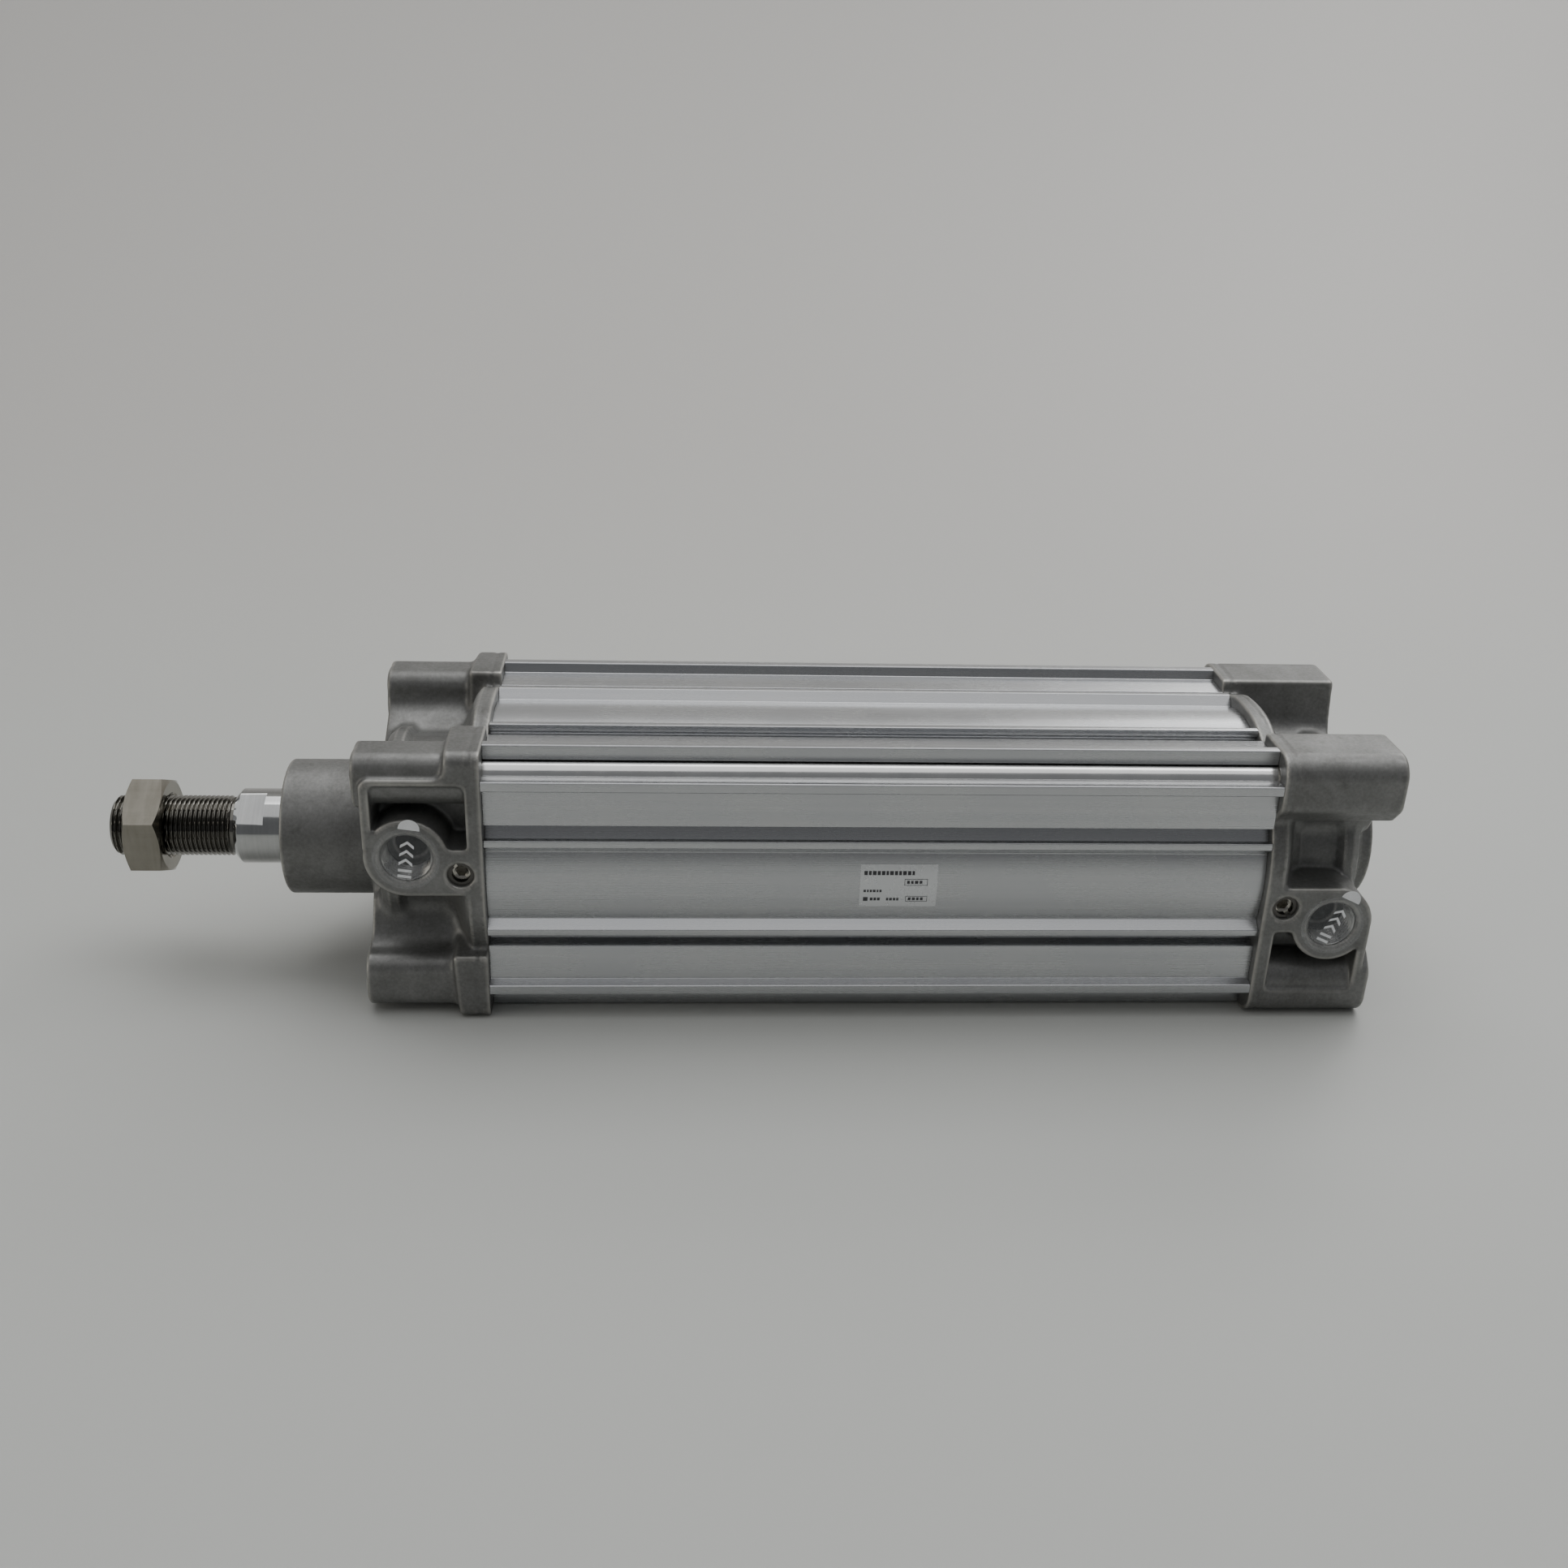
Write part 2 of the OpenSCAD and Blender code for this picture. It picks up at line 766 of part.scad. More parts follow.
module needle() {
  translate([needle_x, -half + needle_face, needle_z]) rotate([-90, 0, 0]) difference() {
    union() {
      difference() {
        cylinder(h = needle_length, r = needle_r);
        translate([0, 0, needle_seal_y]) difference() {
          cylinder(h = needle_seal_w, r = needle_r + over);
          translate([0, 0, -over])
            cylinder(h = needle_seal_w + 2 * over, r = needle_r - needle_seal_depth);
        }
      }
      translate([0, 0, needle_length - eps])
        cylinder(h = needle_tip_length, r1 = needle_tip_r - needle_point_r, r2 = needle_point_r);
    }
    translate([0, 0, -over]) cylinder(h = needle_socket_depth + over,
      r = needle_socket_af / 2 / cos(180 / hex), $fn = hex);
    translate([0, 0, -eps]) cylinder(h = needle_socket_ease,
      r1 = needle_socket_af / 2 + needle_socket_mouth, r2 = needle_socket_af / 2);
  }
}

module needle_seal() {
  translate([needle_x, -half + needle_face + needle_seal_y, needle_z]) rotate([-90, 0, 0])
    translate([0, 0, needle_seal_play]) rotate_extrude($fn = seal_fn) polygon([
      [needle_r - needle_seal_depth + run_gap, 0], [needle_r - fine_ease, 0],
      [needle_r, fine_ease], [needle_r, needle_seal_h - fine_ease],
      [needle_r - fine_ease, needle_seal_h],
      [needle_r - needle_seal_depth + run_gap, needle_seal_h]
    ]);
}

module needle_clip() {
  translate([needle_x, -half + clip_y, needle_z]) rotate([-90, 0, 0]) difference() {
    cylinder(h = clip_w - clip_play, r = clip_groove_r);
    translate([0, 0, -over]) cylinder(h = clip_w + 2 * over, r = clip_in_r);
    rotate(clip_turn) translate([0, -clip_split / 2, -over])
      cube([clip_groove_r + over, clip_split, clip_w + 2 * over]);
  }
}

module rod_cover_needle() {
  color([0.6, 0.58, 0.52]) needle();
}

module head_cover_needle() {
  color([0.6, 0.58, 0.52]) to_rear() needle();
}

module rod_cover_needle_seal() {
  color([0.1, 0.1, 0.1]) needle_seal();
}

module head_cover_needle_seal() {
  color([0.1, 0.1, 0.1]) to_rear() needle_seal();
}

module rod_cover_needle_clip() {
  color([0.4, 0.4, 0.4]) needle_clip();
}

module head_cover_needle_clip() {
  color([0.4, 0.4, 0.4]) to_rear() needle_clip();
}

// ---- port films and label ----

// Round sticker with a half-round pull tab turned by a given angle
module film(tab_turn) {
  translate([port_x, -half - film_lift, port_z]) rotate([90, 0, 0])
    linear_extrude(film_t) union() {
      circle(r = film_r);
      rotate(tab_turn) translate([0, film_r]) circle(r = film_tab_r, $fn = small_fn);
    }
}

module rod_cover_port_film() {
  color([0.85, 0.88, 0.9, 0.4]) film(front_tab_turn);
}

module head_cover_port_film() {
  color([0.85, 0.88, 0.9, 0.4]) to_rear() film(rear_tab_turn);
}

module name_label() {
  a = label_width / barrel_r * 180 / PI / 2;
  color([0.8, 0.8, 0.8]) intersection() {
    ring_x(label_x, label_length, barrel_r + label_lift, barrel_r + label_lift + label_t);
    along_x(label_x, label_length) polygon([
      [0, 0], [-label_reach * cos(label_tilt + a), label_reach * sin(label_tilt + a)],
      [-label_reach, label_reach * sin(label_tilt)],
      [-label_reach * cos(label_tilt - a), label_reach * sin(label_tilt - a)]
    ]);
  }
}

// ---- one sub-part at a time, or all ----

cylinder_tube();
rod_cover();
head_cover();
rod_cover_spigot();
head_cover_spigot();
for (i = [1 : 4]) {
  tie_rod(i);
  front_tie_nut(i);
  rear_tie_nut(i);
}
front_tube_gasket();
rear_tube_gasket();
rod_bushing();
rod_seal();
front_cushion_seal();
rear_cushion_seal();
piston_rod();
rod_end_nut();
piston();
piston_seal();
wear_ring();
magnet_ring();
piston_gasket();
front_cushion_ring();
rear_cushion_nut();
rod_cover_needle();
head_cover_needle();
rod_cover_needle_seal();
head_cover_needle_seal();
rod_cover_needle_clip();
head_cover_needle_clip();
rod_cover_port_film();
head_cover_port_film();
name_label();
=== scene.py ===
import json
import math

import bmesh
import bpy
import numpy as np
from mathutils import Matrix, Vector
from mathutils.geometry import tessellate_polygon


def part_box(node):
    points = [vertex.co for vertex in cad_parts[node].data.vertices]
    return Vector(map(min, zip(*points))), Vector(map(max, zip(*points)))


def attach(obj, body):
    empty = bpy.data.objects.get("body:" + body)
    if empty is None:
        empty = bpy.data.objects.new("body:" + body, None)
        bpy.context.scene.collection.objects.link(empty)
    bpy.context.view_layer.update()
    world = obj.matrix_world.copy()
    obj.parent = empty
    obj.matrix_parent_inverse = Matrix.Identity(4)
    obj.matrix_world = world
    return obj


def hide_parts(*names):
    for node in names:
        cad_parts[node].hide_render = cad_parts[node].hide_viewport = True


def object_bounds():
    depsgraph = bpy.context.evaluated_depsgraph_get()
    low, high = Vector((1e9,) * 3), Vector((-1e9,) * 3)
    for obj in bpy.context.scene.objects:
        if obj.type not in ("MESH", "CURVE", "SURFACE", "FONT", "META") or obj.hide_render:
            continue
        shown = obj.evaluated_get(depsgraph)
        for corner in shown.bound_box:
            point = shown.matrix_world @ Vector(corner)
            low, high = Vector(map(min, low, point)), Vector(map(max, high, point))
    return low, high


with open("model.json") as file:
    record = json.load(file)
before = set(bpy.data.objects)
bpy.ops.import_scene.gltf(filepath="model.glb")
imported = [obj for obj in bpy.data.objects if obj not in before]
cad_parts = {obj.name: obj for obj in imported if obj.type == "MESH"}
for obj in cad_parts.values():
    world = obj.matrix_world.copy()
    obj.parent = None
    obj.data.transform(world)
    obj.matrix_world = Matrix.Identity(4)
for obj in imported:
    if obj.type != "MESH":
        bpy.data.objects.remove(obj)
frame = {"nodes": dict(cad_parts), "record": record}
cad_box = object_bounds()
nodes = frame["nodes"]

MM = 0.001
TOTAL = 328.0      # between the mounting faces
HALF = 46.5        # half the covers' side
COVER = 39.5       # length of a cover
TIE_AT = 36.0      # a tie rod's distance from the axis, across and up
PORT_X, PORT_Z = 16.0, 11.5
NEEDLE_X, NEEDLE_Z = 32.3, 5.6
PORT_R, MOUNT_R = 7.9, 4.25
ROD_OUT = 46.0     # from the mounting face to the rod's shoulder
ROD_R = 12.5
THREAD_R, THREAD_ROOT_R, THREAD_PITCH = 10.0, 9.1, 1.5
FRONT_BOSS, REAR_BOSS, BOSS_R = 28.5, 4.0, 22.4
CUSHION_R = 18.0
MARK_Y, TAB_Y = (-46.547, -46.510), (-46.549, -46.508)    # faces of the film's prints
FLAT_TURN, FLAT_HALF = 35, 11

# ---- camera ----

cam_data = bpy.data.cameras.new("camera")
cam_data.lens = 37.52
cam_data.sensor_width = 36
cam = bpy.data.objects.new("camera", cam_data)
cam.location = (0.09954, -0.49905, 0.24584)
cam.rotation_euler = [math.radians(a) for a in (65.357, -1.881, -3.202)]
bpy.context.scene.collection.objects.link(cam)
bpy.context.scene.camera = cam


# ---- mesh helpers ----

def new_object(name, verts, faces, smooth=True, angle=30):
    """A mesh object from points in millimetres."""
    mesh = bpy.data.meshes.new(name)
    mesh.from_pydata([tuple(v) for v in np.asarray(verts, float) * MM], [], faces)
    mesh.update()
    ob = bpy.data.objects.new(name, mesh)
    bpy.context.scene.collection.objects.link(ob)
    if smooth:
        mesh.shade_smooth()
        mesh.set_sharp_from_angle(angle=math.radians(angle))
    return ob


def face_outwards(ob):
    bm = bmesh.new()
    bm.from_mesh(ob.data)
    bmesh.ops.recalc_face_normals(bm, faces=bm.faces)
    bm.to_mesh(ob.data)
    bm.free()


def grid_faces(rows, cols, close_cols=True):
    """Quads of a grid of rows by columns, the columns closed into a ring."""
    faces = []
    last = cols if close_cols else cols - 1
    for r in range(rows - 1):
        for c in range(last):
            d = (c + 1) % cols
            faces.append((r * cols + c, r * cols + d, (r + 1) * cols + d, (r + 1) * cols + c))
    return faces


def place(ob, body, slot, material, *stands_for):
    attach(ob, body)
    if stands_for:
        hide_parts(*stands_for)
    ob.data.materials.clear()
    ob.data.materials.append(material)
    return ob


def rounded(points, radius, steps=5):
    """A closed outline with every corner rounded to at most the given radius."""
    out = []
    n = len(points)
    for i in range(n):
        p = np.array(points[i][:2], float)
        r = points[i][2] if len(points[i]) > 2 else radius
        a = np.array(points[i - 1][:2], float) - p
        b = np.array(points[(i + 1) % n][:2], float) - p
        la, lb = np.linalg.norm(a), np.linalg.norm(b)
        if r <= 0 or la < 1e-6 or lb < 1e-6:
            out.append(p)
            continue
        a, b = a / la, b / lb
        turn = math.pi - math.acos(float(np.clip(a @ b, -1, 1)))
        if turn < 0.12:
            out.append(p)
            continue
        cut = min(r * math.tan(turn / 2), 0.45 * la, 0.45 * lb)
        r = cut / math.tan(turn / 2)
        mid = (a + b) / np.linalg.norm(a + b)
        centre = p + mid * (r / math.cos(turn / 2))
        s, e = p + a * cut - centre, p + b * cut - centre
        a0 = math.atan2(s[1], s[0])
        sweep = (math.atan2(e[1], e[0]) - a0 + math.pi) % (2 * math.pi) - math.pi
        for k in range(steps + 1):
            t = a0 + sweep * k / steps
            out.append(centre + r * np.array([math.cos(t), math.sin(t)]))
    return np.array(out)


# ---- material helpers ----

class Nodes:
    """Short calls for a material's node tree."""

    def __init__(self, name):
        self.mat = bpy.data.materials.new(name)
        self.mat.use_nodes = True
        self.nt = self.mat.node_tree
        self.shader = self.nt.nodes["Principled BSDF"]
        self.coord = self.nt.nodes.new("ShaderNodeTexCoord").outputs["Object"]

    def set(self, **values):
        for key, value in values.items():
            name = key.replace("_", " ")
            self.shader.inputs[name].default_value = value

    def link(self, a, b):
        self.nt.links.new(a, b)

    def out(self, socket_name, value):
        self.link(value, self.shader.inputs[socket_name])

    def stretch(self, scale, turn=(0, 0, 0)):
        n = self.nt.nodes.new("ShaderNodeMapping")
        n.inputs["Scale"].default_value = scale
        n.inputs["Rotation"].default_value = turn
        self.link(self.coord, n.inputs["Vector"])
        return n.outputs["Vector"]

    def noise(self, scale, detail=4, rough=0.55, vector=None, distortion=0):
        n = self.nt.nodes.new("ShaderNodeTexNoise")
        n.inputs["Scale"].default_value = scale
        n.inputs["Detail"].default_value = detail
        n.inputs["Roughness"].default_value = rough
        n.inputs["Distortion"].default_value = distortion
        self.link(vector or self.coord, n.inputs["Vector"])
        return n.outputs["Fac"]

    def ramp(self, value, *stops):
        n = self.nt.nodes.new("ShaderNodeValToRGB")
        els = n.color_ramp.elements
        while len(els) < len(stops):
            els.new(0.5)
        for el, (pos, col) in zip(els, stops):
            el.position = pos
            el.color = (col, col, col, 1) if isinstance(col, (int, float)) else (*col, 1)
        self.link(value, n.inputs["Fac"])
        return n.outputs["Color"]

    def mix(self, fac, a, b, mode="MIX"):
        n = self.nt.nodes.new("ShaderNodeMix")
        n.data_type = "RGBA"
        n.blend_type = mode
        for key, value in ((0, fac), (6, a), (7, b)):
            if isinstance(value, bpy.types.NodeSocket):
                self.link(value, n.inputs[key])
            elif isinstance(value, (int, float)) and key != 0:
                n.inputs[key].default_value = (value, value, value, 1)
            elif isinstance(value, tuple):
                n.inputs[key].default_value = (*value, 1)
            else:
                n.inputs[key].default_value = value
        return n.outputs[2]

    def math(self, op, a, b=0.0, clamp=False):
        n = self.nt.nodes.new("ShaderNodeMath")
        n.operation = op
        n.use_clamp = clamp
        for key, value in ((0, a), (1, b)):
            if isinstance(value, bpy.types.NodeSocket):
                self.link(value, n.inputs[key])
            else:
                n.inputs[key].default_value = value
        return n.outputs[0]

    def axis(self, index):
        n = self.nt.nodes.new("ShaderNodeSeparateXYZ")
        self.link(self.coord, n.inputs[0])
        return n.outputs[index]

    def pointiness(self):
        return self.nt.nodes.new("ShaderNodeNewGeometry").outputs["Pointiness"]

    def bump(self, height, strength, distance, normal=None):
        n = self.nt.nodes.new("ShaderNodeBump")
        n.inputs["Strength"].default_value = strength
        n.inputs["Distance"].default_value = distance
        self.link(height, n.inputs["Height"])
        if normal is not None:
            self.link(normal, n.inputs["Normal"])
        return n.outputs["Normal"]


# ---- materials ----

def anodised():
    n = Nodes("anodised_aluminium")
    n.set(Metallic=0.92, Anisotropic=0.35)
    fine = n.noise(1, 3, 0.6, n.stretch((5, 2600, 2600)))
    wide = n.noise(1, 3, 0.5, n.stretch((3, 420, 420)))
    patch = n.noise(38, 4, 0.6)
    base = n.ramp(wide, (0.3, (0.47, 0.48, 0.495)), (0.7, (0.52, 0.525, 0.535)))
    base = n.mix(0.25, base, n.ramp(patch, (0.35, (0.46, 0.47, 0.485)), (0.7, (0.56, 0.56, 0.555))))
    n.out("Base Color", base)
    rough = n.mix(0.5, n.ramp(fine, (0.3, 0.25), (0.7, 0.29)), n.ramp(patch, (0.3, 0.24), (0.7, 0.30)))
    n.out("Roughness", rough)
    n.out("Normal", n.bump(fine, 0.03, 0.00002))
    return n.mat


def cast():
    n = Nodes("cast_aluminium")
    n.set(Metallic=0.55)
    cloud = n.noise(55, 6, 0.62, distortion=0.4)
    fine = n.noise(900, 5, 0.65)
    grain = n.noise(2600, 2, 0.5)
    spots = n.noise(210, 3, 0.5)
    base = n.ramp(cloud, (0.30, (0.125, 0.125, 0.120)), (0.5, (0.185, 0.187, 0.183)),
                  (0.70, (0.26, 0.262, 0.257)))
    base = n.mix(0.35, base, n.ramp(fine, (0.35, (0.12, 0.118, 0.11)), (0.7, (0.25, 0.25, 0.24))))
    dark = n.ramp(spots, (0.62, 0.0), (0.74, 0.4))
    base = n.mix(dark, base, (0.09, 0.088, 0.082))
    edge = n.ramp(n.pointiness(), (0.512, 0.0), (0.58, 1.0))
    worn = n.math("MULTIPLY", edge, n.ramp(cloud, (0.25, 0.4), (0.6, 1.0)))
    base = n.mix(n.math("MULTIPLY", worn, 0.8), base, (0.66, 0.64, 0.59))
    n.out("Base Color", base)
    rough = n.ramp(cloud, (0.3, 0.50), (0.7, 0.38))
    rough = n.mix(0.4, rough, n.ramp(fine, (0.3, 0.52), (0.7, 0.36)))
    rough = n.mix(n.math("MULTIPLY", worn, 0.6), rough, 0.28)
    n.out("Roughness", rough)
    bump = n.bump(grain, 0.25, 0.00003)
    n.out("Normal", n.bump(fine, 0.30, 0.00008, bump))
    return n.mat


def steel(name, low, high, rough_low, rough_high, stretch, metallic=1.0, thread_end=None):
    n = Nodes(name)
    n.set(Metallic=metallic)
    streak = n.noise(1, 4, 0.6, n.stretch(stretch))
    patch = n.noise(120, 4, 0.6)
    base = n.mix(0.5, n.ramp(streak, (0.3, low), (0.7, high)), n.ramp(patch, (0.3, low), (0.7, high)))
    edge = n.ramp(n.pointiness(), (0.53, 0.0), (0.62, 1.0))
    base = n.mix(n.math("MULTIPLY", edge, 0.5), base, tuple(min(1.0, 1.2 * v) for v in high))
    # painted shade: past thread_end the rod's thread gets a dark colour that stands in for the dark
    # reflections it shows
    if thread_end is not None:
        cut = n.math("LESS_THAN", n.axis(0), thread_end)
        base = n.mix(cut, base, (0.17, 0.165, 0.15))
    n.out("Base Color", base)
    n.out("Roughness", n.mix(0.5, n.ramp(streak, (0.3, rough_low), (0.7, rough_high)),
                             n.ramp(patch, (0.35, rough_low), (0.65, rough_high))))
    n.out("Normal", n.bump(streak, 0.15, 0.00003))
    return n.mat


def polymer(name, low, high, rough, scale=400):
    n = Nodes(name)
    grain = n.noise(scale, 5, 0.6)
    patch = n.noise(70, 4, 0.6)
    n.out("Base Color", n.mix(0.5, n.ramp(grain, (0.3, low), (0.7, high)),
                              n.ramp(patch, (0.3, low), (0.7, high))))
    n.out("Roughness", n.ramp(patch, (0.3, rough - 0.06), (0.7, rough + 0.06)))
    n.out("Normal", n.bump(grain, 0.2, 0.00004))
    return n.mat


def film_material():
    n = Nodes("port_film_clear")
    n.set(Roughness=0.06, IOR=1.45, Alpha=0.05, Coat_Weight=0.4, Coat_Roughness=0.04)
    haze = n.noise(160, 4, 0.6)
    n.out("Base Color", n.ramp(haze, (0.3, (0.75, 0.78, 0.80)), (0.7, (0.90, 0.92, 0.94))))
    n.out("Normal", n.bump(n.noise(60, 2, 0.5), 0.15, 0.0002))
    return n.mat


def print_material(name, low, high, rough):
    n = Nodes(name)
    fleck = n.noise(700, 4, 0.6)
    n.out("Base Color", n.ramp(fleck, (0.3, low), (0.7, high)))
    n.out("Roughness", n.ramp(fleck, (0.3, rough), (0.7, rough + 0.1)))
    return n.mat


M = {
    "anodised_tube": anodised(),
    "cast_cover": cast(),
    "tie_steel": steel("tie_rod_steel", (0.74, 0.74, 0.73), (0.92, 0.92, 0.90), 0.12, 0.22,
                       (4, 900, 900)),
    "nut_steel": steel("zinc_steel", (0.36, 0.355, 0.34), (0.56, 0.55, 0.52), 0.26, 0.42,
                       (300, 120, 120)),
    # the rod's thread, past the shoulder, carries painted shade standing in for its dark reflections
    "rod_chrome": steel("hard_chrome", (0.40, 0.405, 0.40), (0.52, 0.525, 0.52), 0.05, 0.11,
                        (900, 30, 30), thread_end=-(ROD_OUT + 0.2) * MM),
    "nut_nickel": steel("nickel", (0.15, 0.14, 0.115), (0.27, 0.255, 0.22), 0.10, 0.20, (500, 60, 60)),
    "piston_alloy": steel("turned_alloy", (0.52, 0.52, 0.52), (0.66, 0.66, 0.66), 0.25, 0.38,
                          (1400, 30, 30)),
    "seal_rubber": polymer("seal_rubber", (0.012, 0.012, 0.012), (0.03, 0.03, 0.03), 0.5),
    "bushing_bronze": steel("sintered_bronze", (0.36, 0.25, 0.12), (0.50, 0.36, 0.19), 0.30, 0.45,
                            (600, 600, 600)),
    "wear_plastic": polymer("wear_plastic", (0.03, 0.032, 0.038), (0.05, 0.052, 0.06), 0.55),
    "magnet_black": polymer("magnet_compound", (0.02, 0.02, 0.022), (0.04, 0.04, 0.043), 0.5),
    "needle_steel": steel("needle_steel", (0.34, 0.33, 0.30), (0.52, 0.50, 0.45), 0.22, 0.36,
                          (60, 1500, 60)),
    "port_thread": steel("port_thread_alloy", (0.30, 0.30, 0.29), (0.46, 0.46, 0.45), 0.22, 0.36,
                         (40, 900, 40)),
    # near-black: painted shade of the needle's recess, laid on the needle clip
    "clip_steel_painted_shade": steel("clip_steel_painted_shade", (0.05, 0.048, 0.044), (0.11, 0.106, 0.10), 0.34, 0.5,
                        (300, 120, 120)),
    "port_film": film_material(),
    "film_white": print_material("film_print_white", (0.84, 0.85, 0.86), (0.93, 0.94, 0.95), 0.35),
    "label_ink": print_material("label_ink", (0.03, 0.03, 0.035), (0.06, 0.06, 0.065), 0.45),
    "label_foil": steel("label_foil", (0.52, 0.53, 0.54), (0.62, 0.63, 0.64), 0.22, 0.34,
                        (60, 60, 60), metallic=0.7),
}

SLOT_OF = {s["node"]: s["material_slot"] for s in frame["record"]["subparts"]}
for node_name, ob in nodes.items():
    ob.data.materials.clear()
    ob.data.materials.append(M["clip_steel_painted_shade" if node_name.endswith("_clip") else SLOT_OF[node_name]])
    ob.data.shade_smooth()
    ob.data.set_sharp_from_angle(angle=math.radians(32))


def bevel(node_name, width, segments=2, angle=35):
    mod = nodes[node_name].modifiers.new("soft edges", "BEVEL")
    mod.width = width * MM
    mod.segments = segments
    mod.limit_method = "ANGLE"
    mod.angle_limit = math.radians(angle)
    mod.harden_normals = True


# ---- barrel ----

LIP, LAND, STRIP = 44.5, 42.8, 46.2
CHANNEL_R, BARREL_R, BORE_R = 5.5, 43.0, 40.0


def side_outline():
    """One side's outline from its middle to the middle of the corner channel, (across, outwards)."""
    pts = []
    start = math.asin(11.9 / BARREL_R)
    for k in range(24):
        a = start * k / 23
        pts.append((BARREL_R * math.sin(a), BARREL_R * math.cos(a), 0))
    pts[-1] = (*pts[-1][:2], 0.6)
    pts += [(14.6, LIP, 0.35), (16.8, LIP - 0.1, 0.3), (16.8, 42.3, 0.25), (16.1, 41.8, 0.25),
            (15.2, 40.8, 0.6), (20.3, 38.4, 0.6), (21.9, 40.4, 0.5), (21.9, 41.4, 0.2),
            (21.3, 42.0, 0.25), (21.3, LAND, 0.25), (33.3, LAND + 0.1, 0.3),
            (34.2, STRIP - 0.3, 0.25), (34.5, STRIP, 0.2), (37.2, STRIP, 0.2),
            (37.5, STRIP - 0.3, 0.25)]
    drop = math.sqrt(CHANNEL_R ** 2 - (37.5 - TIE_AT) ** 2)
    a0 = math.atan2(drop, 37.5 - TIE_AT)
    a1 = math.radians(225)
    for k in range(25):
        a = a0 + (a1 - a0) * k / 24
        r = 0.3 if k == 0 else 0
        pts.append((TIE_AT + CHANNEL_R * math.cos(a), TIE_AT + CHANNEL_R * math.sin(a), r))
    return pts


def barrel_outline():
    half = side_outline()
    quarter = half + [(v, u, r) for u, v, r in half[-2:0:-1]]
    loop = []
    for q in range(4):
        c, s = round(math.cos(q * math.pi / 2)), round(math.sin(q * math.pi / 2))
        for u, v, r in quarter:
            y, z = u, v
            loop.append((c * y + s * z, -s * y + c * z, r))
    return rounded(loop, 0.25, 4)


def extrude_ring(name, outer, inner, x0, x1, ease=0.15):
    """A tube of any section along X, its end edges eased."""
    def offset(loop, d):
        prev, nxt = np.roll(loop, 1, 0), np.roll(loop, -1, 0)
        t = nxt - prev
        nrm = np.stack([t[:, 1], -t[:, 0]], 1)
        nrm /= np.maximum(np.linalg.norm(nrm, axis=1, keepdims=True), 1e-9)
        area = 0.5 * np.sum(loop[:, 0] * nxt[:, 1] - nxt[:, 0] * loop[:, 1])
        return loop - nrm * d * np.sign(area)

    verts, faces = [], []

    def ring(loop, x):
        verts.extend((x, y, z) for y, z in loop)
        return len(verts) - len(loop)

    def skin(loop, d):
        n = len(loop)
        rows = [ring(offset(loop, d), x0), ring(loop, x0 + ease), ring(loop, x1 - ease),
                ring(offset(loop, d), x1)]
        for a, b in zip(rows, rows[1:]):
            for k in range(n):
                m = (k + 1) % n
                faces.append((a + k, a + m, b + m, b + k))
        return rows

    o_rows, i_rows = skin(outer, ease), skin(inner, -ease)
    for end in (0, 3):
        a, b = o_rows[end], i_rows[end]
        loops = [[Vector((v[1], v[2], 0)) for v in verts[r:r + n]]
                 for r, n in ((a, len(outer)), (b, len(inner)))]
        index = list(range(a, a + len(outer))) + list(range(b, b + len(inner)))
        for tri in tessellate_polygon(loops):
            faces.append(tuple(index[k] for k in tri))
    ob = new_object(name, verts, faces)
    face_outwards(ob)
    ob.data.shade_smooth()
    ob.data.set_sharp_from_angle(angle=math.radians(30))
    return ob


tube_lo, tube_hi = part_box("cylinder_tube")
bore = np.array([(BORE_R * math.cos(a), BORE_R * math.sin(a))
                 for a in np.linspace(0, 2 * math.pi, 180, endpoint=False)])
tube = extrude_ring("profile_barrel", barrel_outline(), bore, tube_lo.x / MM, tube_hi.x / MM)
place(tube, "barrel", "anodised_tube", M["anodised_tube"], "cylinder_tube")

for i in range(1, 5):
    bevel(f"tie_rod_{i}", 0.2)
    bevel(f"front_tie_nut_{i}", 0.3)
    bevel(f"rear_tie_nut_{i}", 0.3)
bevel("rod_end_nut", 0.35, 3, 25)


# ---- cast covers, from distance fields ----

def smooth_min(a, b, k):
    h = np.maximum(k - np.abs(a - b), 0) / k
    return np.minimum(a, b) - h * h * k / 4


def smooth_max(a, b, k):
    return -smooth_min(-a, -b, k)


def box2(u, v, u0, u1, v0, v1, r):
    """Signed distance to a rectangle with round corners."""
    qu = np.abs(u - (u0 + u1) / 2) - (u1 - u0) / 2 + r
    qv = np.abs(v - (v0 + v1) / 2) - (v1 - v0) / 2 + r
    return np.minimum(np.maximum(qu, qv), 0) + np.hypot(np.maximum(qu, 0), np.maximum(qv, 0)) - r


def extruded(d2, t, t0, t1, r):
    """A flat shape's distance carried along t, the end edges rounded."""
    q1 = d2 + r
    q2 = np.abs(t - (t0 + t1) / 2) - (t1 - t0) / 2 + r
    return np.minimum(np.maximum(q1, q2), 0) + np.hypot(np.maximum(q1, 0), np.maximum(q2, 0)) - r


def polygon2(u, v, pts):
    """Signed distance to a closed polygon."""
    best = np.full(u.shape, 1e9, np.float32)
    inside = np.zeros(u.shape, bool)
    for (au, av), (bu, bv) in zip(pts, pts[1:] + pts[:1]):
        eu, ev = bu - au, bv - av
        t = np.clip(((u - au) * eu + (v - av) * ev) / (eu * eu + ev * ev), 0, 1)
        best = np.minimum(best, (u - au - t * eu) ** 2 + (v - av - t * ev) ** 2)
        if ev:
            inside ^= ((av > v) != (bv > v)) & (u < au + (v - av) * eu / ev)
    return np.where(inside, -1, 1) * np.sqrt(best)


def round_hole(dist, depth, r, length, chamfer):
    """A blind round hole: dist from its axis, depth below its mouth."""
    wall = dist - r - np.clip(chamfer - depth, 0, 2 * chamfer)
    return np.maximum(wall, depth - length)


